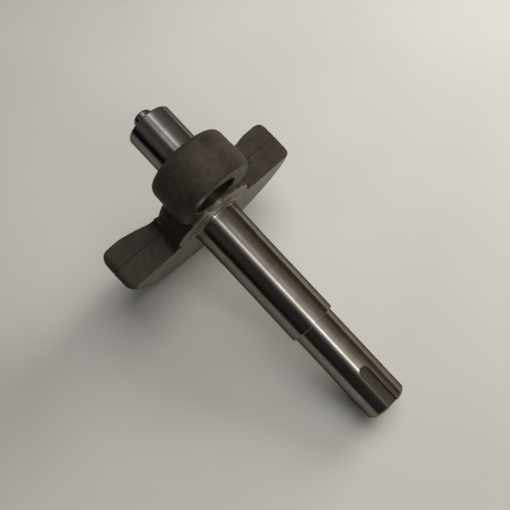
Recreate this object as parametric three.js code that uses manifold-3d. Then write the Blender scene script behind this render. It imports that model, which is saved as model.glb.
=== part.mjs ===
// Overhung crankshaft for a small engine or compressor.
//
// A cast web carries the counterweight on one side and a round boss on the other. The ground main
// shaft is pressed into the hub of the web, and the ground crank pin is pressed into the boss from
// the far side, so the pin overhangs the only bearing end.
//
// Frame: the shaft axis is the X axis, +X points out of the output end, +Z points from the shaft
// axis to the crank pin, and the origin is the centre of the output end face. Millimetres.

import * as THREE from "three";
import { mergeVertices } from "three/addons/utils/BufferGeometryUtils.js";
import Module from "manifold-3d";

// ---- Driving dimensions -------------------------------------------------------------------------

const INCH = 25.4;
const PRESS_GAP = 0.3; // clearance left all round a press fit, so that neighbouring solids stay apart
const PIECE_SEGMENTS = 72; // sides of a full turn on every round surface
const CUT_OVERRUN = 5; // how far a cutting body runs past the surface that it cuts

// Main shaft, from the output end inwards.
const OUTPUT_DIAMETER = 1.0 * INCH;
const OUTPUT_LENGTH = 59.1;
const JOURNAL_DIAMETER = 1.125 * INCH;
const JOURNAL_LENGTH = 58.7;
const SEAT_DIAMETER = 29.2;
const SEAT_LENGTH = 21.5;
const SHAFT_STUB_DIAMETER = 26;
const SHAFT_STUB_SHORTFALL = 0.8; // how far the pressed-in stub stops short of the back of the web
const OUTPUT_CHAMFER = 1.2;
const STEP_CHAMFER = 0.5;

// Parallel keyway, open at the output end and in line with the crank pin.
const KEY_WIDTH = 0.25 * INCH;
const KEY_DEPTH = 0.125 * INCH; // below the highest point of the output section
const KEYWAY_LENGTH = 25.8;

// Crank pin.
const THROW = 1.5 * INCH; // shaft axis to pin axis, half of the stroke
const PIN_DIAMETER = 1.0 * INCH;
const PIN_REACH = 52.4; // machined face of the web to the free end of the pin
const PIN_RECESS = 7.5; // machined face of the web to the pressed-in end of the pin
const PIN_CHAMFER = 0.9;
const PIN_STUB_DIAMETER = 10.4;
const PIN_STUB_LENGTH = 5.8;
const PIN_STUB_CHAMFER = 1.2;

// Web casting.
const WEB_THICKNESS = 26.4;
const PARTING_DEPTH = 13.4; // machined face to the plane where the two halves of the mould met
const HUB_RADIUS = 26.2;
const HUB_FACE_CHAMFER = 1;
const HUB_BACK_CORNER = 4;
const BOSS_RADIUS = 22.6;
const BOSS_FRONT_RADIUS = 23.8; // the boss is slightly larger on the machined side of its parting line
const BOSS_PARTING_STEP = 1.2; // length over which the boss grows from one radius to the other
const BOSS_FACE_RADIUS = 19.9;
const BOSS_FACE_SETBACK = 2.1; // the boss face lies this far behind the machined face of the web
const BOSS_FACE_CORNER = 6; // how far the rounding of the front edge reaches along the boss
const BOSS_BACK_DEPTH = 27.4; // machined face of the web to the pin side of the boss
const BOSS_PARTING_DEPTH = 16.5;
const BOSS_CORNER = 4.5;
const CROWN_RADIUS = 61.2; // rim of the counterweight, at its parting line
const CROWN_DRAFT = 0.3; // how much the rim narrows from its parting line to its rounded edges
const RIM_FACE_RADIUS = 57; // rim of the counterweight, at the machined face
const RIM_BACK_RADIUS = 55.6;
const RIM_CORNER_DEPTH = 4.8;
const BACK_DISH_RADIUS = 50; // the back of the counterweight is thinner inside this radius
const BACK_DISH_DEPTH = 4.4; // how much thinner it is at the hub
const SHOULDER_HEIGHT = 0; // flat upper edges of the counterweight above the shaft axis
const WING_TIP_CORNER = 4.5;
const HUB_FILLET = 5;

// Shoulder ring between the web and the main bearing.
const RING_OUTER_RADIUS = 19.3;
const RING_THICKNESS = 0.6;

// ---- Stations along the shaft axis, worked out from the lengths above ---------------------------

const outputStart = -OUTPUT_LENGTH;
const journalStart = outputStart - JOURNAL_LENGTH;
const webFace = journalStart - SEAT_LENGTH;
const webBack = webFace - WEB_THICKNESS;
const bossFace = webFace - BOSS_FACE_SETBACK;
const bossBack = webFace - BOSS_BACK_DEPTH;
const pinEnd = webFace - PIN_REACH;

// ---- Shape helpers ------------------------------------------------------------------------------

const wasm = await Module();
wasm.setup();

// A closed geometry as a solid that can be joined and cut.
function solid(geometry) {
  const bare = geometry.clone();
  bare.deleteAttribute("normal");
  bare.deleteAttribute("uv");
  const merged = mergeVertices(bare, 1e-4);
  return new wasm.Manifold(
    new wasm.Mesh({
      numProp: 3,
      vertProperties: merged.attributes.position.array,
      triVerts: new Uint32Array(merged.index.array),
    }),
  );
}

// A solid as a geometry with flat-shaded faces.
function geometryOf(body) {
  const mesh = body.getMesh();
  const indexed = new THREE.BufferGeometry();
  indexed.setAttribute("position", new THREE.BufferAttribute(mesh.vertProperties, 3));
  indexed.setIndex(new THREE.BufferAttribute(mesh.triVerts, 1));
  const flat = indexed.toNonIndexed();
  flat.computeVertexNormals();
  return flat;
}

// A turned piece about a line parallel to X at the height z. The outline is a list of [x, radius]
// pairs in the order of rising x, starting and ending on the axis.
function turned(outline, z = 0) {
  const points = outline.map(([x, radius]) => new THREE.Vector2(radius, x));
  const geometry = new THREE.LatheGeometry(points, PIECE_SEGMENTS);
  geometry.rotateZ(-Math.PI / 2);
  geometry.translate(0, 0, z);
  return solid(geometry);
}

// A plain cylinder along X between two stations.
function rod(xLow, xHigh, radius, z = 0) {
  return turned([[xLow, 0], [xLow, radius], [xHigh, radius], [xHigh, 0]], z);
}

// Points of a quarter-round corner between two [x, radius] points. The corner leaves the first
// point along the radius when startsAlongRadius is true, and along x when it is false.
function roundedCorner([x0, r0], [x1, r1], startsAlongRadius, steps = 6) {
  const points = [];
  for (let i = 0; i <= steps; i++) {
    const angle = (i / steps) * (Math.PI / 2);
    const slow = 1 - Math.cos(angle);
    const fast = Math.sin(angle);
    const alongX = startsAlongRadius ? slow : fast;
    const alongRadius = startsAlongRadius ? fast : slow;
    points.push([x0 + (x1 - x0) * alongX, r0 + (r1 - r0) * alongRadius]);
  }
  return points;
}

// A plate with an outline in the YZ plane, between two stations along X.
function plateAcrossShaft(shape, xLow, xHigh) {
  const geometry = new THREE.ExtrudeGeometry(shape, {
    depth: xHigh - xLow,
    bevelEnabled: false,
    curveSegments: 10,
  });
  // Drawn in XY and extruded along Z: a third of a turn carries X, Y and Z to Y, Z and X.
  const toShaftAxes = new THREE.Matrix4().makeBasis(
    new THREE.Vector3(0, 1, 0),
    new THREE.Vector3(0, 0, 1),
    new THREE.Vector3(1, 0, 0),
  );
  geometry.applyMatrix4(toShaftAxes);
  geometry.translate(xLow, 0, 0);
  return solid(geometry);
}

// ---- Web casting --------------------------------------------------------------------------------

// Half-moon outline of the counterweight: flat upper edges with rounded tips, filleted into the hub.
function counterweightOutline() {
  const far = CROWN_RADIUS + CUT_OVERRUN;
  const tipY = Math.sqrt(CROWN_RADIUS ** 2 - SHOULDER_HEIGHT ** 2);
  const filletRise = HUB_FILLET;
  const filletFootY = HUB_RADIUS + HUB_FILLET;
  const outline = new THREE.Shape();
  outline.moveTo(-far, -far);
  outline.lineTo(far, -far);
  outline.lineTo(far, SHOULDER_HEIGHT - WING_TIP_CORNER);
  outline.lineTo(tipY, SHOULDER_HEIGHT - WING_TIP_CORNER);
  outline.quadraticCurveTo(tipY, SHOULDER_HEIGHT, tipY - WING_TIP_CORNER, SHOULDER_HEIGHT);
  outline.lineTo(filletFootY, SHOULDER_HEIGHT);
  outline.quadraticCurveTo(HUB_RADIUS, SHOULDER_HEIGHT, HUB_RADIUS - 1, SHOULDER_HEIGHT + filletRise);
  outline.lineTo(-HUB_RADIUS + 1, SHOULDER_HEIGHT + filletRise);
  outline.quadraticCurveTo(-HUB_RADIUS, SHOULDER_HEIGHT, -filletFootY, SHOULDER_HEIGHT);
  outline.lineTo(-tipY + WING_TIP_CORNER, SHOULDER_HEIGHT);
  outline.quadraticCurveTo(-tipY, SHOULDER_HEIGHT, -tipY, SHOULDER_HEIGHT - WING_TIP_CORNER);
  outline.lineTo(-far, SHOULDER_HEIGHT - WING_TIP_CORNER);
  outline.closePath();
  return outline;
}

// Crowned disc that gives the counterweight its rim, widest at the parting line, and its dished back.
function crownedDisc() {
  const edgeRadius = CROWN_RADIUS - CROWN_DRAFT;
  const backCorner = [[webBack, RIM_BACK_RADIUS], [webBack + RIM_CORNER_DEPTH, edgeRadius]];
  const faceCorner = [[webFace - RIM_CORNER_DEPTH, edgeRadius], [webFace, RIM_FACE_RADIUS]];
  return turned([
    [webBack + BACK_DISH_DEPTH, 0],
    [webBack + BACK_DISH_DEPTH, HUB_RADIUS - HUB_BACK_CORNER],
    [webBack, BACK_DISH_RADIUS],
    ...roundedCorner(...backCorner, true, 4),
    [webFace - PARTING_DEPTH, CROWN_RADIUS],
    ...roundedCorner(...faceCorner, false, 4),
    [webFace, 0],
  ]);
}

function counterweight() {
  return crownedDisc().intersect(plateAcrossShaft(counterweightOutline(), webBack, webFace));
}

// Hub around the shaft, with a rounded edge on the pin side and a chamfered machined face.
function hub() {
  const edge = HUB_BACK_CORNER;
  return turned([
    [webBack, 0],
    ...roundedCorner([webBack, HUB_RADIUS - edge], [webBack + edge, HUB_RADIUS], true, 4),
    [webFace - HUB_FACE_CHAMFER, HUB_RADIUS],
    [webFace, HUB_RADIUS - HUB_FACE_CHAMFER],
    [webFace, 0],
  ]);
}

// Boss around the crank pin: rounded at both ends and parted near the middle.
function boss() {
  const parting = webFace - BOSS_PARTING_DEPTH;
  return turned(
    [
      [bossBack, 0],
      ...roundedCorner([bossBack, BOSS_RADIUS - BOSS_CORNER], [bossBack + BOSS_CORNER, BOSS_RADIUS], true),
      [parting, BOSS_RADIUS],
      [parting + BOSS_PARTING_STEP, BOSS_FRONT_RADIUS],
      ...roundedCorner([bossFace - BOSS_FACE_CORNER, BOSS_FRONT_RADIUS], [bossFace, BOSS_FACE_RADIUS], false),
      [bossFace, 0],
    ],
    THROW,
  );
}

function crankWeb() {
  const shaftBore = rod(webBack - CUT_OVERRUN, webFace + CUT_OVERRUN, SHAFT_STUB_DIAMETER / 2 + PRESS_GAP);
  const pinBoreRadius = PIN_DIAMETER / 2 + PRESS_GAP;
  const pinBore = rod(bossBack - CUT_OVERRUN, webFace + CUT_OVERRUN, pinBoreRadius, THROW);
  return counterweight().add(hub()).add(boss()).subtract(shaftBore).subtract(pinBore);
}

// ---- Main shaft ---------------------------------------------------------------------------------

// Keyway cutter: a slot with a half-round inner end, seen from above.
function keywayCutter() {
  const half = KEY_WIDTH / 2;
  const roundCentre = -KEYWAY_LENGTH + half;
  const slot = new THREE.Shape();
  slot.moveTo(CUT_OVERRUN, -half);
  slot.lineTo(CUT_OVERRUN, half);
  slot.lineTo(roundCentre, half);
  slot.absarc(roundCentre, 0, half, Math.PI / 2, (3 * Math.PI) / 2, false);
  slot.closePath();
  const floor = OUTPUT_DIAMETER / 2 - KEY_DEPTH;
  const geometry = new THREE.ExtrudeGeometry(slot, {
    depth: KEY_DEPTH + CUT_OVERRUN,
    bevelEnabled: false,
    curveSegments: 16,
  });
  geometry.translate(0, 0, floor);
  return solid(geometry);
}

function mainShaft() {
  const stubRadius = SHAFT_STUB_DIAMETER / 2;
  const seatRadius = SEAT_DIAMETER / 2;
  const journalRadius = JOURNAL_DIAMETER / 2;
  const outputRadius = OUTPUT_DIAMETER / 2;
  const stubEnd = webBack + SHAFT_STUB_SHORTFALL;
  const blank = turned([
    [stubEnd, 0],
    [stubEnd, stubRadius - STEP_CHAMFER],
    [stubEnd + STEP_CHAMFER, stubRadius],
    [webFace + PRESS_GAP, stubRadius],
    [webFace + PRESS_GAP, seatRadius],
    [journalStart, seatRadius],
    [journalStart, journalRadius],
    [outputStart - STEP_CHAMFER, journalRadius],
    [outputStart, journalRadius - STEP_CHAMFER],
    [outputStart, outputRadius],
    [-OUTPUT_CHAMFER, outputRadius],
    [0, outputRadius - OUTPUT_CHAMFER],
    [0, 0],
  ]);
  return blank.subtract(keywayCutter());
}

// ---- Shoulder ring ------------------------------------------------------------------------------

function shoulderRing() {
  const low = webFace + PRESS_GAP;
  const high = low + RING_THICKNESS;
  const hole = rod(low - CUT_OVERRUN, high + CUT_OVERRUN, SEAT_DIAMETER / 2 + PRESS_GAP);
  return rod(low, high, RING_OUTER_RADIUS).subtract(hole);
}

// ---- Crank pin ----------------------------------------------------------------------------------

function crankPin() {
  const radius = PIN_DIAMETER / 2;
  const stubRadius = PIN_STUB_DIAMETER / 2;
  const seatedEnd = webFace - PIN_RECESS;
  return turned(
    [
      [pinEnd - PIN_STUB_LENGTH, 0],
      [pinEnd - PIN_STUB_LENGTH, stubRadius - PIN_STUB_CHAMFER],
      [pinEnd - PIN_STUB_LENGTH + PIN_STUB_CHAMFER, stubRadius],
      [pinEnd, stubRadius],
      [pinEnd, radius - PIN_CHAMFER],
      [pinEnd + PIN_CHAMFER, radius],
      [seatedEnd - PIN_CHAMFER, radius],
      [seatedEnd, radius - PIN_CHAMFER],
      [seatedEnd, 0],
    ],
    THROW,
  );
}

// ---- Assembly -----------------------------------------------------------------------------------

const castSkin = () => new THREE.MeshStandardMaterial({ color: 0x6b645c, roughness: 0.75, metalness: 0.6 });
const groundSteel = () => new THREE.MeshStandardMaterial({ color: 0xb9b5b0, roughness: 0.22, metalness: 1 });
const turnedSteel = () => new THREE.MeshStandardMaterial({ color: 0xa5a29c, roughness: 0.35, metalness: 1 });

const crankshaft = new THREE.Group();

function addPiece(name, body, material) {
  const mesh = new THREE.Mesh(geometryOf(body), material);
  mesh.name = name;
  crankshaft.add(mesh);
}

addPiece("crank_web", crankWeb(), castSkin());
addPiece("main_shaft", mainShaft(), groundSteel());
addPiece("shoulder_ring", shoulderRing(), turnedSteel());
addPiece("crank_pin", crankPin(), groundSteel());

export default crankshaft;
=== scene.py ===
"""Studio scene of an overhung crankshaft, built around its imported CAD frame."""

import math

import bmesh
import bpy
import numpy as np
from mathutils import Matrix, Vector, noise


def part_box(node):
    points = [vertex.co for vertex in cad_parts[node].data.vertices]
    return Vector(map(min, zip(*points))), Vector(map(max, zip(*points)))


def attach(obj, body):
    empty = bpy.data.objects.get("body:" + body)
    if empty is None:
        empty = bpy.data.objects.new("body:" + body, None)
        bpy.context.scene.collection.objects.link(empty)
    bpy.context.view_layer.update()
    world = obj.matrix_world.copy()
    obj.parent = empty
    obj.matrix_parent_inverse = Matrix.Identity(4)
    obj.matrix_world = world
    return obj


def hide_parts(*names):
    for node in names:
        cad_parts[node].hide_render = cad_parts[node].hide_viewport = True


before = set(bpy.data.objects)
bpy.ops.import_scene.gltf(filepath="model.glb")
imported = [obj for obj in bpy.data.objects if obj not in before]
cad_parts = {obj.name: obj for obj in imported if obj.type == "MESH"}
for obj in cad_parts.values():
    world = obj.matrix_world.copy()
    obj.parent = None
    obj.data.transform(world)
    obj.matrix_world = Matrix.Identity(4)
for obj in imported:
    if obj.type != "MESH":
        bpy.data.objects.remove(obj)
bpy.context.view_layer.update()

# ---- Sizes ----------------------------------------------------------------------------------------
# Lengths are in metres. X is the shaft axis, the crank pin is towards +Z, and the origin is the
# centre of the output end face. Places along X come from the boxes of the CAD nodes.

MM = 0.001

web_low, web_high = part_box("crank_web")
shaft_low, shaft_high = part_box("main_shaft")
pin_low, pin_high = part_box("crank_pin")
ring_low, ring_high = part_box("shoulder_ring")

WEB_FACE = web_high.x  # machined face of the web, towards the output end
BOSS_BACK = web_low.x  # pin side of the boss
CROWN_RADIUS = web_high.y  # rim of the counterweight at its parting line
THROW = (pin_low.z + pin_high.z) / 2  # shaft axis to pin axis
PIN_RADIUS = (pin_high.z - pin_low.z) / 2
SEAT_RADIUS = shaft_high.y
OUTPUT_END = shaft_high.x

WEB_BACK = WEB_FACE - 26.4 * MM
PARTING = WEB_FACE - 13.4 * MM
BOSS_PARTING = WEB_FACE - 16.5 * MM
BOSS_FACE = WEB_FACE - 2.1 * MM
HUB_RADIUS = 26.2 * MM
HUB_CHAMFER = 1.0 * MM
BOSS_RADIUS = 22.8 * MM
BOSS_FRONT_RADIUS = 23.25 * MM
BOSS_OFFSET = 0.6 * MM
BOSS_FACE_RADIUS = 19.9 * MM
RIM_FACE_RADIUS = 57.0 * MM
WING_TOP = -0.15 * MM

OUTPUT_RADIUS = 12.7 * MM
JOURNAL_RADIUS = 14.2875 * MM
OUTPUT_START = OUTPUT_END - 59.1 * MM
JOURNAL_START = OUTPUT_START - 58.7 * MM
STUB_RADIUS = 13.0 * MM
KEY_WIDTH = 6.35 * MM
KEY_FLOOR = OUTPUT_RADIUS - 3.175 * MM
KEYWAY_LENGTH = 25.8 * MM
PIN_STUB_RADIUS = 5.2 * MM
PIN_STUB_LENGTH = 5.8 * MM

ROUND_SEGMENTS = 192
CASTING_VOXEL = 0.45 * MM
OVERRUN = 6 * MM  # how far cutters run past what they cut

# ---- Mesh helpers ---------------------------------------------------------------------------------


def object_from(name, bm):
    """A new object in the scene that holds the bmesh, with its normals pointing out."""
    bmesh.ops.recalc_face_normals(bm, faces=bm.faces)
    mesh = bpy.data.meshes.new(name)
    bm.to_mesh(mesh)
    bm.free()
    made = bpy.data.objects.new(name, mesh)
    bpy.context.scene.collection.objects.link(made)
    return made


def turned(name, outline, axis_z=0.0, segments=ROUND_SEGMENTS, hollow=False):
    """A closed piece turned about a line parallel to X. The outline is [(x, radius), ...] from one
    end to the other, and both ends are closed by a flat disc. A hollow piece has no discs: its
    outline runs round its section and back to the start."""
    bm = bmesh.new()
    rings = []
    for x, radius in outline:
        ring = []
        for i in range(segments):
            angle = 2 * math.pi * i / segments
            ring.append(bm.verts.new((x, radius * math.cos(angle), axis_z + radius * math.sin(angle))))
        rings.append(ring)
    pairs = list(zip(rings, rings[1:]))
    if hollow:
        pairs.append((rings[-1], rings[0]))
    else:
        bm.faces.new(rings[0])
        bm.faces.new(rings[-1])
    for near, far in pairs:
        for i in range(segments):
            j = (i + 1) % segments
            bm.faces.new((near[i], near[j], far[j], far[i]))
    return object_from(name, bm)


def prism(name, outline, low, high, place):
    """A straight prism: the outline [(a, b), ...] is swept from low to high, and place(a, b, height)
    gives each corner."""
    bm = bmesh.new()
    bottom = [bm.verts.new(place(a, b, low)) for a, b in outline]
    top = [bm.verts.new(place(a, b, high)) for a, b in outline]
    count = len(outline)
    for i in range(count):
        j = (i + 1) % count
        bm.faces.new((bottom[i], bottom[j], top[j], top[i]))
    bm.faces.new(bottom)
    bm.faces.new(top)
    return object_from(name, bm)


def arc(centre, radius, start_deg, end_deg, steps):
    """Points on an arc, in degrees counted from the first axis towards the second."""
    points = []
    for i in range(steps + 1):
        angle = math.radians(start_deg + (end_deg - start_deg) * i / steps)
        points.append((centre[0] + radius * math.cos(angle), centre[1] + radius * math.sin(angle)))
    return points


def eased(points, sizes, steps=4):
    """The outline with its corners rounded: sizes[i] is how far the rounding of corner i reaches
    along each side, and 0 leaves it sharp."""
    result = []
    for i, point in enumerate(points):
        size = sizes[i]
        if size == 0:
            result.append(point)
            continue
        here, before, after = Vector(point), Vector(points[i - 1]), Vector(points[i + 1])
        start = here + (before - here).normalized() * size
        end = here + (after - here).normalized() * size
        for k in range(steps + 1):
            t = k / steps
            on_curve = start * (1 - t) ** 2 + here * 2 * t * (1 - t) + end * t**2
            result.append(tuple(on_curve))
    return result


def steadied(outline, inset=0.5 * MM):
    """The outline with an extra point near both ends of each long straight run, so that smooth
    shading stays level along the run."""
    result = [outline[0]]
    for near, far in zip(outline, outline[1:]):
        run = Vector(far) - Vector(near)
        if run.length > 5 * inset:
            step = run.normalized() * inset
            result += [tuple(Vector(near) + step), tuple(Vector(far) - step)]
        result.append(far)
    return result


def apply_modifiers(target):
    """Replaces the object's mesh with the result of its modifiers."""
    evaluated = target.evaluated_get(bpy.context.evaluated_depsgraph_get())
    mesh = bpy.data.meshes.new_from_object(evaluated)
    target.modifiers.clear()
    target.data = mesh


def combine(target, other, operation):
    """Cuts, joins or intersects the target with another closed object, which is used up."""
    modifier = target.modifiers.new(operation.lower(), "BOOLEAN")
    modifier.operation = operation
    modifier.solver = "MANIFOLD"
    modifier.object = other
    bpy.context.view_layer.update()
    apply_modifiers(target)
    bpy.data.objects.remove(other)


def shade(target, sharp_deg=32):
    """Smooth shading with sharp edges where the surface turns by more than the angle."""
    target.data.shade_smooth()
    target.data.set_sharp_from_angle(angle=math.radians(sharp_deg))


def coordinates(target):
    """Vertex positions as an array with a row for each vertex."""
    flat = np.empty(len(target.data.vertices) * 3, dtype=np.float64)
    target.data.vertices.foreach_get("co", flat)
    return flat.reshape(-1, 3)


def smoothstep(low, high, values):
    t = np.clip((values - low) / (high - low), 0, 1)
    return t * t * (3 - 2 * t)


# ---- Web casting ----------------------------------------------------------------------------------


def counterweight_blank():
    """Half-moon with flat upper edges, rounded tips and a rim that is widest at the parting line."""
    disc = turned(
        "counterweight_blank",
        [
            (WEB_BACK + 6.6 * MM, HUB_RADIUS - 5 * MM),
            (WEB_BACK + 4.8 * MM, 27 * MM),
            (WEB_BACK + 1.7 * MM, 38 * MM),
            (WEB_BACK + 0.1 * MM, 46.5 * MM),
            *rounded_rim(WEB_BACK, 6.4 * MM, 6.2 * MM, 1)[::-1],
            (PARTING, CROWN_RADIUS + 0.9 * MM),
            *rounded_rim(WEB_FACE + 0.25 * MM, 6.0 * MM, 5.4 * MM, -1),
            (WEB_FACE + 1.5 * MM, RIM_FACE_RADIUS - 1.5 * MM),
        ],
    )
    tip = CROWN_RADIUS + 0.6 * MM
    corner = 4.5 * MM
    far = CROWN_RADIUS + OVERRUN
    fillet = 5.5 * MM
    right_side = [
        (far, -far),
        (far, WING_TOP - corner),
        (tip, WING_TOP - corner),
        *arc((tip - corner, WING_TOP - corner), corner, 0, 90, 8),
        *arc((HUB_RADIUS + fillet, WING_TOP + fillet), fillet, 270, 180, 8),
        (HUB_RADIUS - 2 * MM, WING_TOP + fillet),
    ]
    left_side = [(-y, z) for y, z in reversed(right_side)]
    mould = prism(
        "mould",
        right_side + left_side,
        WEB_BACK - OVERRUN,
        WEB_FACE + OVERRUN,
        lambda y, z, x: (x, y, z),
    )
    combine(disc, mould, "INTERSECT")
    return disc


def rounded_rim(end, reach, drop, inwards):
    """The quarter-round edge of the counterweight, from the rim down to its end at one station."""
    points = []
    for i in range(9):
        angle = math.radians(90 * i / 8)
        along = reach * (1 - math.sin(angle))
        points.append((end + inwards * along, CROWN_RADIUS + 0.7 * MM - drop * (1 - math.cos(angle))))
    return points


def hub_blank():
    outline = eased(
        [
            (WEB_BACK + 2.2 * MM, 1 * MM),
            (WEB_BACK + 2.2 * MM, 19.0 * MM),
            (WEB_BACK + 6.4 * MM, 24.5 * MM),
            (PARTING + 2 * MM, HUB_RADIUS - 0.2 * MM),
            (WEB_FACE + 1 * MM, HUB_RADIUS),
        ],
        [0, 4 * MM, 2.5 * MM, 0, 0],
    )
    return turned("hub_blank", outline)


def boss_blank():
    corner = 5 * MM
    front = eased(
        [
            (BOSS_FACE - 8 * MM, BOSS_FRONT_RADIUS),
            (BOSS_FACE - 0.2 * MM, BOSS_FRONT_RADIUS - 0.2 * MM),
            (BOSS_FACE + 2.4 * MM, BOSS_FACE_RADIUS - 3.4 * MM),
        ],
        [0, 5 * MM, 0],
        steps=8,
    )
    back = eased(
        [(BOSS_BACK, 1 * MM), (BOSS_BACK, BOSS_RADIUS - 0.1 * MM), (BOSS_PARTING, BOSS_RADIUS)],
        [0, corner, 0],
        steps=8,
    )
    boss = turned("boss_blank", [*back, (BOSS_PARTING + 3 * MM, BOSS_FRONT_RADIUS), *front], THROW)
    boss.data.transform(Matrix.Translation((0, BOSS_OFFSET, 0)))
    return boss


def neck_blank():
    """Fills the corners between the hub and the boss with a concave flank on each side."""
    right_side = [
        (20.5 * MM, 14 * MM),
        (17.5 * MM, 18.5 * MM),
        (15.9 * MM, 22.5 * MM),
        (15.7 * MM, 26 * MM),
        (16.8 * MM, 30 * MM),
    ]
    left_side = [(-y, z) for y, z in reversed(right_side)]
    return prism(
        "neck_blank",
        right_side + left_side,
        WEB_BACK + 6 * MM,
        WEB_FACE + 1 * MM,
        lambda y, z, x: (x, y, z),
    )


def fractal(point, scale, octaves=3):
    """Smooth noise between about -1 and 1 whose largest lumps are one scale across."""
    return noise.fractal(Vector(point) / scale, 0.9, 2.1, octaves, noise_basis="PERLIN_ORIGINAL")


# Small holes in the cast skin: centre, radius and depth.
SKIN_HOLES = [
    ((WEB_FACE - 11.3 * MM, 38.0 * MM, 0.0), 0.9 * MM, 0.6 * MM),
    ((WEB_FACE - 13.2 * MM, 47.5 * MM, 0.0), 0.8 * MM, 0.5 * MM),
    ((WEB_FACE - 5.2 * MM, 50.5 * MM, 0.0), 0.7 * MM, 0.35 * MM),
    ((WEB_FACE - 9.5 * MM, -52.0 * MM, 0.0), 0.8 * MM, 0.4 * MM),
    ((WEB_FACE - 21.0 * MM, 8.5 * MM, THROW + 21.2 * MM), 1.0 * MM, 0.45 * MM),
    ((WEB_FACE - 12.0 * MM, -17.5 * MM, THROW + 16.0 * MM), 0.9 * MM, 0.4 * MM),
    ((WEB_FACE - 18.0 * MM, -30.0 * MM, -52.0 * MM), 1.1 * MM, 0.5 * MM),
    ((WEB_FACE - 8.0 * MM, 24.0 * MM, -56.0 * MM), 0.9 * MM, 0.5 * MM),
]


def weather_casting(casting):
    """Draft on the flat upper edges, the parting ridge, and the lumps and pits of a cast skin."""
    casting.data.update()
    points = coordinates(casting)
    normals = np.array([vertex.normal for vertex in casting.data.vertices])
    x, y, z = points.T
    on_wing = smoothstep(25 * MM, 31 * MM, np.abs(y)) * smoothstep(-9 * MM, 0, z) * (z < 8 * MM)
    z = z - 0.055 * np.abs(x - PARTING) * on_wing
    boss_share = smoothstep(20 * MM, 26 * MM, z)
    parting = PARTING + (BOSS_PARTING - PARTING) * boss_share
    moved = np.column_stack((x, y, z))
    lift = np.empty(len(points))
    for i, point in enumerate(moved):
        wander = 0.35 * MM * fractal(point + np.array((0.3, 0, 0)), 9 * MM, 2)
        off_parting = (point[0] - parting[i] - wander) / (0.75 * MM)
        ragged = 0.55 + 0.45 * fractal(point, 4 * MM, 2)
        ridge = 0.2 * MM * ragged * math.exp(-off_parting * off_parting) * (1 - boss_share[i])
        groove = -0.3 * MM * math.exp(-(((off_parting + 1.3) / 0.8) ** 2)) * (1 - boss_share[i])
        lumps = 0.10 * MM * fractal(point, 13 * MM) + 0.045 * MM * fractal(point, 3 * MM, 4)
        cell = fractal(point + np.array((0, 0.7, 0)), 5 * MM, 3)
        pit = -0.16 * MM * max(0.0, cell - 0.42) * 4
        for centre, radius, depth in SKIN_HOLES:
            away = (Vector(point) - Vector(centre)).length / radius
            pit -= depth * math.exp(-(away**4))
        side_on = 1 - abs(normals[i][0]) ** 2
        lift[i] = lumps + pit + (ridge + groove) * side_on
    moved += normals * lift[:, None]
    casting.data.vertices.foreach_set("co", moved.ravel())
    casting.data.update()


def machining_cutters():
    """Everything that is milled, faced or bored away from the casting."""
    wide = CROWN_RADIUS + 2 * OVERRUN
    square = [(-wide, -wide), (wide, -wide), (wide, wide), (-wide, wide)]
    web_facing = prism("web_facing", square, WEB_FACE, WEB_FACE + OVERRUN, lambda y, z, x: (x, y, z))
    boss_facing = turned(
        "boss_facing",
        [(BOSS_FACE, BOSS_FRONT_RADIUS + 4 * MM), (WEB_FACE + OVERRUN, BOSS_FRONT_RADIUS + 4 * MM)],
        THROW,
    )
    milled = HUB_RADIUS - 0.35 * MM
    hub_kept = turned("hub_kept", [(BOSS_FACE - OVERRUN, milled), (WEB_FACE + 2 * OVERRUN, milled)])
    combine(boss_facing, hub_kept, "DIFFERENCE")
    land = PIN_RADIUS + 1.3 * MM
    spot = turned("spot", [(BOSS_FACE, land), (WEB_FACE + OVERRUN + 0.5 * MM, land)], THROW)
    combine(boss_facing, spot, "UNION")
    bevel = turned(
        "hub_bevel",
        [
            (WEB_FACE - HUB_CHAMFER, HUB_RADIUS + OVERRUN),
            (WEB_FACE - HUB_CHAMFER, HUB_RADIUS - 0.1 * MM),
            (WEB_FACE, HUB_RADIUS - HUB_CHAMFER - 0.1 * MM),
            (WEB_FACE + HUB_CHAMFER, HUB_RADIUS - 2 * HUB_CHAMFER),
            (WEB_FACE + HUB_CHAMFER, HUB_RADIUS + OVERRUN),
        ],
        hollow=True,
    )
    upper = [(-wide, 1.5 * MM), (wide, 1.5 * MM), (wide, wide), (-wide, wide)]
    near_hub = prism("near_hub", upper, BOSS_FACE, WEB_FACE + OVERRUN, lambda y, z, x: (x, y, z))
    combine(bevel, near_hub, "INTERSECT")
    chamfer = 0.5 * MM
    pin_bore = turned(
        "pin_bore",
        [
            (BOSS_BACK - OVERRUN, PIN_RADIUS + chamfer),
            (BOSS_BACK, PIN_RADIUS + chamfer),
            (BOSS_BACK + chamfer, PIN_RADIUS),
            (BOSS_FACE - chamfer, PIN_RADIUS),
            (BOSS_FACE + 0.02 * MM, PIN_RADIUS + chamfer),
        ],
        THROW,
    )
    pin_side_facing = turned(
        "pin_side_facing", [(BOSS_BACK - OVERRUN, 17.5 * MM), (BOSS_BACK + 0.25 * MM, 17.5 * MM)], THROW
    )
    shaft_bore = turned(
        "shaft_bore",
        [
            (WEB_BACK - OVERRUN, STUB_RADIUS + chamfer),
            (WEB_BACK + 0.3 * MM, STUB_RADIUS + chamfer),
            (WEB_BACK + 0.8 * MM, STUB_RADIUS),
            (WEB_FACE + OVERRUN, STUB_RADIUS),
        ],
    )
    return [web_facing, boss_facing, bevel, pin_bore, pin_side_facing, shaft_bore]


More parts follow.
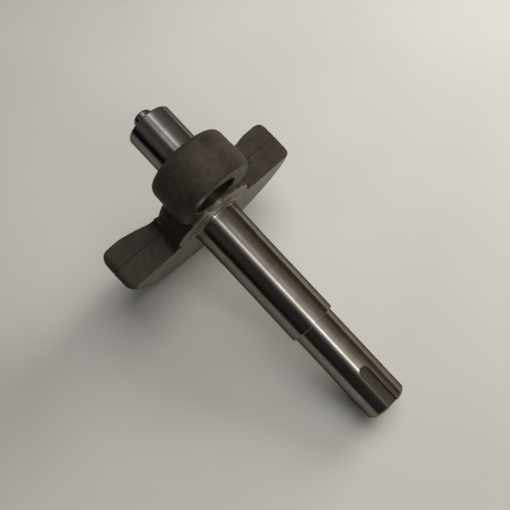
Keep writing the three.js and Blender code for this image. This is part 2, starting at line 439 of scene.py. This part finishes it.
def mark_machined_faces(web):
    """Gives faces that lie on a machined plane or in a bore their own material slots."""
    mesh = web.data
    count = len(mesh.polygons)
    centres = np.empty(count * 3)
    normals = np.empty(count * 3)
    mesh.polygons.foreach_get("center", centres)
    mesh.polygons.foreach_get("normal", normals)
    centres = centres.reshape(-1, 3)
    normals = normals.reshape(-1, 3)
    flat = np.abs(normals[:, 0]) > 0.999
    planes = (WEB_FACE, BOSS_FACE, BOSS_BACK + 0.25 * MM)
    on_plane = np.zeros(count, dtype=bool)
    for plane in planes:
        on_plane |= flat & (np.abs(centres[:, 0] - plane) < 0.01 * MM)
    from_pin = np.hypot(centres[:, 1], centres[:, 2] - THROW)
    from_shaft = np.hypot(centres[:, 1], centres[:, 2])
    near_bore = (from_pin < PIN_RADIUS + 0.52 * MM) | (from_shaft < STUB_RADIUS + 0.52 * MM)
    milled_wall = np.abs(from_shaft - HUB_RADIUS + 0.35 * MM) < 0.03 * MM
    milled_wall |= np.abs(from_pin - PIN_RADIUS - 1.3 * MM) < 0.03 * MM
    on_land = milled_wall & (centres[:, 0] > BOSS_FACE) & (from_pin < 24 * MM)
    bevel_depth = WEB_FACE - centres[:, 0]
    bevel_off = from_shaft - (HUB_RADIUS - HUB_CHAMFER - 0.1 * MM) - bevel_depth
    leaning = (normals[:, 0] > 0.6) & (normals[:, 0] < 0.8)
    on_bevel = leaning & (np.abs(bevel_off) < 0.05 * MM) & (centres[:, 2] > 0)
    slots = np.zeros(count, dtype=np.int32)
    slots[on_plane | on_land | on_bevel] = 1
    slots[near_bore] = 2
    mesh.polygons.foreach_set("material_index", slots)


def crank_web():
    casting = counterweight_blank()
    for blank in (hub_blank(), boss_blank(), neck_blank()):
        combine(casting, blank, "UNION")
    remesh = casting.modifiers.new("skin", "REMESH")
    remesh.mode = "VOXEL"
    remesh.voxel_size = CASTING_VOXEL
    soften = casting.modifiers.new("soften", "SMOOTH")
    soften.factor = 0.5
    soften.iterations = 10
    apply_modifiers(casting)
    weather_casting(casting)
    for cutter in machining_cutters():
        combine(casting, cutter, "DIFFERENCE")
    casting.name = "web_casting"
    shade(casting)
    mark_machined_faces(casting)
    return casting


# ---- Ground pieces --------------------------------------------------------------------------------


def main_shaft():
    fine = 0.25 * MM
    foot = ring_high.x - 0.05 * MM
    outline = eased(
        [
            (WEB_BACK + 0.8 * MM, 1.2 * MM),
            (WEB_BACK + 0.8 * MM, STUB_RADIUS - 0.6 * MM),
            (WEB_BACK + 1.4 * MM, STUB_RADIUS - 0.01 * MM),
            (foot, STUB_RADIUS - 0.01 * MM),
            (foot, SEAT_RADIUS + 0.75 * MM),
            (foot + 0.2 * MM, SEAT_RADIUS + 0.3 * MM),
            (foot + 0.8 * MM, SEAT_RADIUS - 0.12 * MM),
            (JOURNAL_START, SEAT_RADIUS - 0.12 * MM),
            (JOURNAL_START + 0.08 * MM, JOURNAL_RADIUS),
            (OUTPUT_START - 0.35 * MM, JOURNAL_RADIUS),
            (OUTPUT_START, JOURNAL_RADIUS - 0.35 * MM),
            (OUTPUT_START, OUTPUT_RADIUS),
            (OUTPUT_END - 1.2 * MM, OUTPUT_RADIUS),
            (OUTPUT_END, OUTPUT_RADIUS - 1.1 * MM),
            (OUTPUT_END, 1.2 * MM),
        ],
        [0, 0, 0, 0, 0, 0.2 * MM, 0.2 * MM, 0, 0, 0.15 * MM, 0.15 * MM, fine, 0.2 * MM, 0.2 * MM, 0],
        steps=3,
    )
    shaft = turned("main_shaft_ground", steadied(outline))
    half = KEY_WIDTH / 2
    round_centre = OUTPUT_END - KEYWAY_LENGTH + half
    slot_outline = [(OUTPUT_END + OVERRUN, -half), (OUTPUT_END + OVERRUN, half)]
    slot_outline += arc((round_centre, 0), half, 90, 270, 32)
    slot = prism("slot", slot_outline, KEY_FLOOR, OUTPUT_RADIUS + OVERRUN, lambda x, y, z: (x, y, z))
    combine(shaft, slot, "DIFFERENCE")
    for end, inwards in ((OUTPUT_END, -1), (WEB_BACK + 0.8 * MM, 1)):
        combine(shaft, centre_hole(end, inwards, 0.0, 2.6 * MM), "DIFFERENCE")
    shade(shaft)
    mark_keyway(shaft)
    return shaft


def centre_hole(end, inwards, axis_z, mouth_radius):
    """Sixty-degree centre-drilled hole that the piece was ground on."""
    pilot = mouth_radius * 0.42
    cone = (mouth_radius - pilot) / math.tan(math.radians(30))
    stations = [(-OVERRUN, mouth_radius), (0, mouth_radius), (cone, pilot), (cone + 2.2 * pilot, pilot)]
    outline = [(end + inwards * depth, radius) for depth, radius in stations]
    return turned("centre_hole", outline, axis_z, 48)


def mark_keyway(shaft):
    """The walls and floor of the keyway are milled and keep their dark scale."""
    for face in shaft.data.polygons:
        x, y, z = face.center
        inside = abs(y) < KEY_WIDTH / 2 + 0.02 * MM and z > KEY_FLOOR - 0.02 * MM
        off_round = math.hypot(y, z) < OUTPUT_RADIUS - 0.05 * MM
        if inside and off_round and x > OUTPUT_END - KEYWAY_LENGTH - 0.1 * MM and abs(face.normal.x) < 0.98:
            face.material_index = 1


def shoulder_ring():
    low, high = WEB_FACE - 0.02 * MM, ring_high.x
    inner = STUB_RADIUS + 0.1 * MM
    outer = ring_high.y
    section = [
        (low, inner),
        (low, outer - 0.1 * MM),
        (low + 0.15 * MM, outer),
        (high - 0.3 * MM, outer),
        (high - 0.1 * MM, outer - 0.15 * MM),
        (high, outer - 0.5 * MM),
        (high, outer - 1.1 * MM),
        (high, inner),
    ]
    ring = turned("shoulder_ring_turned", section, hollow=True)
    shade(ring)
    return ring


def crank_pin():
    end, seated = pin_low.x + PIN_STUB_LENGTH, pin_high.x
    outline = eased(
        [
            (end - PIN_STUB_LENGTH, 0.8 * MM),
            (end - PIN_STUB_LENGTH, PIN_STUB_RADIUS - 1.2 * MM),
            (end - PIN_STUB_LENGTH + 1.2 * MM, PIN_STUB_RADIUS),
            (end, PIN_STUB_RADIUS),
            (end, PIN_RADIUS - 0.9 * MM),
            (end + 0.9 * MM, PIN_RADIUS - 0.01 * MM),
            (seated - 0.9 * MM, PIN_RADIUS - 0.01 * MM),
            (seated, PIN_RADIUS - 0.9 * MM),
            (seated, 1.0 * MM),
        ],
        [0, 0.3 * MM, 0.3 * MM, 0.25 * MM, 0.25 * MM, 0.25 * MM, 0.25 * MM, 0.25 * MM, 0],
        steps=3,
    )
    pin = turned("crank_pin_ground", steadied(outline), THROW)
    combine(pin, centre_hole(end - PIN_STUB_LENGTH, 1, THROW, 1.5 * MM), "DIFFERENCE")
    combine(pin, centre_hole(seated, -1, THROW, 2.4 * MM), "DIFFERENCE")
    shade(pin)
    return pin


# ---- Materials ------------------------------------------------------------------------------------


class Nodes:
    """A short way to write a node tree: each call adds a node and returns an output socket."""

    def __init__(self, name, tree=None):
        if tree is not None:
            self.tree = tree
            return
        self.material = bpy.data.materials.new(name)
        self.material.use_nodes = True
        self.tree = self.material.node_tree
        self.shader = self.tree.nodes["Principled BSDF"]

    def add(self, kind, inputs=None, output=0, **settings):
        node = self.tree.nodes.new(kind)
        for key, value in settings.items():
            setattr(node, key, value)
        for key, value in (inputs or {}).items():
            self.feed(node.inputs[key], value)
        return node.outputs[output]

    def feed(self, socket, value):
        if isinstance(value, bpy.types.NodeSocket):
            self.tree.links.new(value, socket)
        else:
            socket.default_value = value

    def place(self, scale=(1, 1, 1)):
        """Object coordinates in metres, stretched."""
        where = self.add("ShaderNodeTexCoord", output="Object")
        return self.add("ShaderNodeMapping", {"Vector": where, "Scale": scale})

    def noise(self, vector, scale, detail=3.0, roughness=0.5, distortion=0.0):
        return self.add(
            "ShaderNodeTexNoise",
            {
                "Vector": vector,
                "Scale": scale,
                "Detail": detail,
                "Roughness": roughness,
                "Distortion": distortion,
            },
        )

    def ramp(self, factor, stops):
        """Colour ramp; each stop is (position, colour)."""
        out = self.add("ShaderNodeValToRGB", {"Fac": factor})
        elements = out.node.color_ramp.elements
        while len(elements) < len(stops):
            elements.new(0.5)
        for element, (position, colour) in zip(elements, stops):
            element.position = position
            element.color = (*colour, 1) if len(colour) == 3 else colour
        return out

    def remap(self, value, low, high):
        """Value between 0 and 1 spread between low and high."""
        return self.add("ShaderNodeMapRange", {"Value": value, "To Min": low, "To Max": high})

    def math(self, operation, first, second=0.0):
        return self.add("ShaderNodeMath", {0: first, 1: second}, operation=operation)

    def mix(self, factor, first, second, blend="MIX"):
        inputs = {0: factor, 6: first, 7: second}
        out = self.add("ShaderNodeMix", inputs, output=2, data_type="RGBA", blend_type=blend)
        return out

    def bump(self, height, distance, strength=1.0, normal=None):
        inputs = {"Height": height, "Distance": distance, "Strength": strength}
        if normal is not None:
            inputs["Normal"] = normal
        return self.add("ShaderNodeBump", inputs)

    def seam(self, where):
        """A thin ragged line where the two halves of the mould met: 1 on the line, 0 away from it."""
        split = self.add("ShaderNodeSeparateXYZ", {0: where})
        x, height = split, split.node.outputs["Z"]
        boss_zone = {"Value": height, "From Min": 20 * MM, "From Max": 26 * MM}
        on_boss = self.add("ShaderNodeMapRange", boss_zone)
        line = self.remap(on_boss, PARTING - 0.5 * MM, BOSS_PARTING)
        wander = self.remap(self.noise(where, 110, 2), -0.5 * MM, 0.5 * MM)
        away = self.math("ABSOLUTE", self.math("SUBTRACT", self.math("SUBTRACT", x, line), wander))
        thin = self.add(
            "ShaderNodeMapRange",
            {"Value": away, "From Min": 0.15 * MM, "From Max": 0.55 * MM, "To Min": 0.85, "To Max": 0},
        )
        worn = self.ramp(self.noise(where, 260, 3), [(0.36, (0, 0, 0)), (0.5, (1, 1, 1))])
        fading = self.remap(on_boss, 1.0, 0.0)
        return self.math("MULTIPLY", self.math("MULTIPLY", thin, worn), fading)

    def finish(self, **sockets):
        for key, value in sockets.items():
            self.feed(self.shader.inputs[key.replace("_", " ")], value)
        return self.material


def rgb(*values):
    return (*values, 1.0)


def ground_steel(name, tint, base_roughness):
    """Cylindrically ground steel: faint rings round the axis, a slight drift in tone, few stains."""
    n = Nodes(name)
    rings = n.noise(n.place((1, 0.012, 0.012)), 2600, 4, 0.6)
    bands = n.noise(n.place((1, 0.05, 0.05)), 170, 2, 0.5)
    stains = n.noise(n.place(), 75, 5, 0.65, 0.4)
    tone = n.ramp(bands, [(0.3, [c * 0.9 for c in tint]), (0.7, tint)])
    smudge = n.ramp(stains, [(0.42, (1, 1, 1)), (0.78, (0.78, 0.74, 0.68))])
    colour = n.mix(1.0, tone, smudge, "MULTIPLY")
    ring_roughness = n.remap(rings, base_roughness - 0.05, base_roughness + 0.06)
    rough = n.math("ADD", ring_roughness, n.remap(stains, -0.02, 0.05))
    normal = n.bump(rings, 0.004 * MM, 0.5)
    tangent = n.add("ShaderNodeTangent", direction_type="RADIAL", axis="X")
    return n.finish(
        Base_Color=colour,
        Metallic=1.0,
        Specular_Tint=rgb(0.22, 0.205, 0.18),
        Roughness=rough,
        Anisotropic=0.85,
        Anisotropic_Rotation=0.25,
        Tangent=tangent,
        Normal=normal,
    )


def cast_skin():
    """As-cast iron: dark grey-brown, finely pebbled, paler on rubbed edges, with painted shade in hollows.
    """
    n = Nodes("cast_skin")
    where = n.place()
    patches = n.noise(where, 55, 4, 0.6, 0.3)
    mottle = n.noise(where, 420, 5, 0.7)
    grain = n.noise(where, 1700, 4, 0.65)
    base = n.ramp(
        patches,
        [(0.3, (0.038, 0.029, 0.021)), (0.55, (0.061, 0.052, 0.041)), (0.8, (0.056, 0.039, 0.027))],
    )
    fleck = n.ramp(mottle, [(0.35, (0.72, 0.70, 0.68)), (0.62, (1.12, 1.1, 1.06))])
    colour = n.mix(1.0, base, fleck, "MULTIPLY")
    edges = n.add("ShaderNodeNewGeometry", output="Pointiness")
    rubbed = n.ramp(edges, [(0.58, (0, 0, 0)), (0.72, (1, 1, 1))])
    colour = n.mix(rubbed, colour, rgb(0.11, 0.10, 0.085))
    colour = n.mix(n.seam(where), colour, rgb(0.018, 0.015, 0.011))
    # Painted shade: the skin is darkened where it is enclosed, standing in for shadow, not dirt.
    openness = n.add("ShaderNodeAmbientOcclusion", {"Distance": 30 * MM}, output="AO")
    painted_shade = n.ramp(openness, [(0.4, (0.16, 0.15, 0.13)), (0.92, (1, 1, 1))])
    colour = n.mix(1.0, colour, painted_shade, "MULTIPLY")
    rough = n.math("ADD", n.remap(patches, 0.42, 0.62), n.remap(mottle, -0.06, 0.08))
    fine = n.bump(grain, 0.09 * MM, 0.8)
    normal = n.bump(mottle, 0.22 * MM, 0.7, fine)
    return n.finish(Base_Color=colour, Metallic=0.35, Roughness=rough, Normal=normal)


def machined_face(name="machined_face"):
    """Faced metal: fine arcs round the shaft axis left by the tool, grey, with a little stain."""
    n = Nodes(name)
    where = n.add("ShaderNodeTexCoord", output="Object")
    split = n.add("ShaderNodeSeparateXYZ", {0: where}, output="Y")
    y, z = split, split.node.outputs["Z"]
    square = n.math("ADD", n.math("MULTIPLY", y, y), n.math("MULTIPLY", z, z))
    radius = n.math("SQRT", square)
    along = n.add("ShaderNodeCombineXYZ", {"X": radius})
    arcs = n.noise(along, 3800, 3, 0.6)
    broad = n.noise(along, 420, 2, 0.5)
    stains = n.noise(n.place(), 120, 5, 0.65, 0.5)
    tone = n.ramp(broad, [(0.3, (0.40, 0.375, 0.32)), (0.7, (0.53, 0.50, 0.435))])
    smudge = n.ramp(stains, [(0.4, (1, 1, 1)), (0.75, (0.7, 0.66, 0.58))])
    colour = n.mix(1.0, tone, smudge, "MULTIPLY")
    rough = n.math("ADD", n.remap(arcs, 0.3, 0.42), n.remap(stains, -0.02, 0.08))
    normal = n.bump(arcs, 0.012 * MM, 0.6)
    tangent = n.add("ShaderNodeTangent", direction_type="RADIAL", axis="X")
    return n.finish(
        Base_Color=colour,
        Metallic=0.9,
        Roughness=rough,
        Anisotropic=0.5,
        Anisotropic_Rotation=0.25,
        Tangent=tangent,
        Normal=normal,
    )


def bore_wall():
    """Reamed bore: grey with a thin film of old oil."""
    n = Nodes("bore_wall")
    rings = n.noise(n.place((1, 0.03, 0.03)), 2200, 3, 0.6)
    stains = n.noise(n.place(), 150, 5, 0.7, 0.4)
    colour = n.ramp(stains, [(0.35, (0.16, 0.145, 0.12)), (0.7, (0.05, 0.035, 0.02))])
    rough = n.remap(rings, 0.28, 0.42)
    normal = n.bump(rings, 0.006 * MM, 0.5)
    return n.finish(Base_Color=colour, Metallic=0.85, Roughness=rough, Normal=normal)


def keyway_scale():
    """Milled keyway: dark olive-grey, with lines left by the cutter along its length."""
    n = Nodes("keyway_scale")
    lines = n.noise(n.place((0.04, 1, 1)), 2400, 4, 0.6)
    stains = n.noise(n.place(), 190, 5, 0.65, 0.4)
    colour = n.ramp(stains, [(0.3, (0.07, 0.062, 0.043)), (0.72, (0.12, 0.108, 0.08))])
    rough = n.remap(lines, 0.42, 0.6)
    return n.finish(Base_Color=colour, Metallic=0.7, Roughness=rough, Normal=n.bump(lines, 0.01 * MM, 0.6))


# ---- Pieces ---------------------------------------------------------------------------------------


def dress(piece, node, slot, *materials):
    """The finished piece stands for its CAD node and rides with the root body."""
    slots = np.zeros(len(piece.data.polygons), dtype=np.int32)
    piece.data.polygons.foreach_get("material_index", slots)
    piece.data.materials.clear()
    for material in materials:
        piece.data.materials.append(material)
    piece.data.polygons.foreach_set("material_index", slots)
    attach(piece, "root")
    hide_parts(node)
    return piece


def build_crankshaft():
    web = crank_web()
    dress(web, "crank_web", "cast_skin", cast_skin(), machined_face(), bore_wall())
    shaft_steel = ground_steel("ground_shaft", (0.53, 0.498, 0.45), 0.2)
    dress(main_shaft(), "main_shaft", "ground_shaft", shaft_steel, keyway_scale())
    dress(shoulder_ring(), "shoulder_ring", "turned_ring", machined_face("turned_ring"))
    dress(crank_pin(), "crank_pin", "ground_pin", ground_steel("ground_pin", (0.56, 0.53, 0.52), 0.2))


# ---- Stage, camera and light ----------------------------------------------------------------------

# Solved by least squares on edge points of the photo, and rounded.
CAMERA_PLACE = Vector((-0.0908, -0.0671, 0.3068))
CAMERA_FORWARD = Vector((-0.0570, 0.2214, -0.9735))
CAMERA_UP = Vector((-0.7293, 0.6567, 0.1921))
FOCAL_LENGTHS_PER_WIDTH = 560.6 / 510.0
SENSOR_WIDTH = 36.0


def camera():
    data = bpy.data.cameras.new("camera")
    data.sensor_width = SENSOR_WIDTH
    data.lens = SENSOR_WIDTH * FOCAL_LENGTHS_PER_WIDTH
    made = bpy.data.objects.new("camera", data)
    bpy.context.scene.collection.objects.link(made)
    back = -CAMERA_FORWARD.normalized()
    right = CAMERA_UP.cross(back).normalized()
    up = back.cross(right)
    made.matrix_world = Matrix.Translation(CAMERA_PLACE) @ Matrix((right, up, back)).transposed().to_4x4()
    bpy.context.scene.camera = made


def table():
    """Pale table under the two places that the crankshaft rests on: the lower edge of the machined
    face and the rim of the output end. Its underside doesn't show, so that a low camera sees past."""
    rear = Vector((WEB_FACE, 0, -RIM_FACE_RADIUS))
    front = Vector((OUTPUT_END - 1.2 * MM, 0, -OUTPUT_RADIUS))
    along = (front - rear).normalized()
    across = Vector((0, 1, 0))
    normal = along.cross(across)
    middle = (rear + front) / 2 - normal * 0.1 * MM
    half = 1.6
    mesh = bpy.data.meshes.new("table")
    signs = ((-1, -1), (1, -1), (1, 1), (-1, 1))
    corners = [middle + along * a * half + across * b * half for a, b in signs]
    mesh.from_pydata([tuple(corner) for corner in corners], [], [(0, 1, 2, 3)])
    made = bpy.data.objects.new("table", mesh)
    bpy.context.scene.collection.objects.link(made)
    n = Nodes("table_top")
    cloud = n.noise(n.place(), 9, 3, 0.5)
    speck = n.noise(n.place(), 900, 3, 0.6)
    colour = n.ramp(cloud, [(0.3, (0.545, 0.535, 0.505)), (0.7, (0.58, 0.572, 0.545))])
    # The steel mirrors a darker table than the one that is seen directly.
    mirrored = n.add("ShaderNodeLightPath", output="Is Glossy Ray")
    colour = n.mix(mirrored, colour, rgb(0.30, 0.29, 0.26))
    n.finish(Base_Color=colour, Roughness=0.55, Normal=n.bump(speck, 0.03 * MM, 0.3))
    see_through = n.add("ShaderNodeBsdfTransparent")
    backfacing = n.add("ShaderNodeNewGeometry", output="Backfacing")
    shown = n.add("ShaderNodeMixShader", {0: backfacing, 1: n.shader.outputs[0], 2: see_through})
    n.tree.links.new(shown, n.tree.nodes["Material Output"].inputs["Surface"])
    mesh.materials.append(n.material)


def room():
    """The room that the bright steel mirrors, as a tone for each direction round the shaft axis.
    Zero degrees is straight up from the shaft and positive angles lean towards +Y. The tones were worked
    out from brightness measured across the shaft and the pin in the photo."""
    over_shaft = [
        (-150, 0.05, 0.0), (-97, 0.004, 0.1), (-80, 0.004, 0.1), (-60, 0.02, 0.0), (-33, 0.025, 0.0),
        (-20, 0.12, 0.15), (-11, 0.6, 0.1), (-5, 3.0, 0.05), (1, 0.6, 0.1), (14, 0.45, 0.1),
        (26, 0.30, 0.2), (38, 0.20, 0.4), (54, 0.16, 0.8), (67, 0.06, 1.0),
        (92, 0.035, 1.0), (115, 0.08, 0.6),
    ]
    over_pin = [
        (-150, 0.05, 0.0), (-96, 0.003, 0.1), (-78, 0.003, 0.1), (-66, 0.1, 0.2), (-50, 0.18, 0.2),
        (-24, 0.06, 0.5), (-12, 0.10, 0.4), (-3, 0.2, 0.3), (6, 0.4, 0.2), (17, 2.2, 0.1),
        (26, 0.7, 0.1), (36, 0.36, 0.2), (48, 0.24, 0.25), (66, 0.2, 0.3),
        (90, 0.15, 0.35), (115, 0.2, 0.3),
    ]

    def tones(rows):
        stops = []
        for degrees, light, warmth in rows:
            warm = (light, light * (1 - 0.30 * warmth), light * (1 - 0.55 * warmth))
            stops.append(((degrees + 180) / 360, warm))
        return stops

    world = bpy.data.worlds.new("room")
    bpy.context.scene.world = world
    world.use_nodes = True
    n = Nodes("room", world.node_tree)
    direction = n.add("ShaderNodeTexCoord", output="Generated")
    split = n.add("ShaderNodeSeparateXYZ", {0: direction})
    x, y, z = split.node.outputs
    around = n.math("ARCTAN2", y, z)
    turn = n.add(
        "ShaderNodeMapRange",
        {"Value": around, "From Min": -math.pi, "From Max": math.pi, "To Min": 0, "To Max": 1},
    )
    beyond_web = n.add("ShaderNodeMapRange", {"Value": x, "From Min": -0.12, "From Max": -0.28})
    towards_output = n.add(
        "ShaderNodeMapRange",
        {"Value": x, "From Min": -0.15, "From Max": 0.2, "To Min": 0.62, "To Max": 1.15},
    )
    tone = n.mix(beyond_web, n.ramp(turn, tones(over_shaft)), n.ramp(turn, tones(over_pin)))
    seen = n.add("ShaderNodeLightPath", output="Is Camera Ray")
    backdrop = n.mix(seen, tone, rgb(0.58, 0.575, 0.55))
    strength = n.mix(seen, towards_output, rgb(1, 1, 1))
    # Matt surfaces get less than half of the light that the steel mirrors.
    scattered = seen.node.outputs["Is Diffuse Ray"]
    dimmed = n.remap(scattered, 1.0, 0.45)
    background = n.tree.nodes["Background"]
    n.feed(background.inputs["Color"], backdrop)
    n.feed(background.inputs["Strength"], n.math("MULTIPLY", strength, dimmed))


def softbox(name, place, aim, size, power, colour=(1, 1, 1), mirrored=False):
    data = bpy.data.lights.new(name, "AREA")
    data.shape = "DISK"
    data.size = size
    data.energy = power
    data.color = colour
    made = bpy.data.objects.new(name, data)
    made.location = place
    made.rotation_mode = "QUATERNION"
    made.rotation_quaternion = (Vector(aim) - Vector(place)).to_track_quat("-Z", "Y")
    made.visible_glossy = mirrored
    bpy.context.scene.collection.objects.link(made)


def studio():
    camera()
    table()
    room()
    middle = (-0.09, 0, 0)
    softbox("overhead", (-0.40, 0.32, 0.76), middle, 0.75, 4.8, (1.0, 0.985, 0.95))
    softbox("window", (-0.20, 0.84, 0.42), middle, 0.45, 6.4, (1.0, 0.975, 0.93))
    bpy.context.scene.view_settings.view_transform = "Standard"


# ---- Scene ----------------------------------------------------------------------------------------

build_crankshaft()
studio()
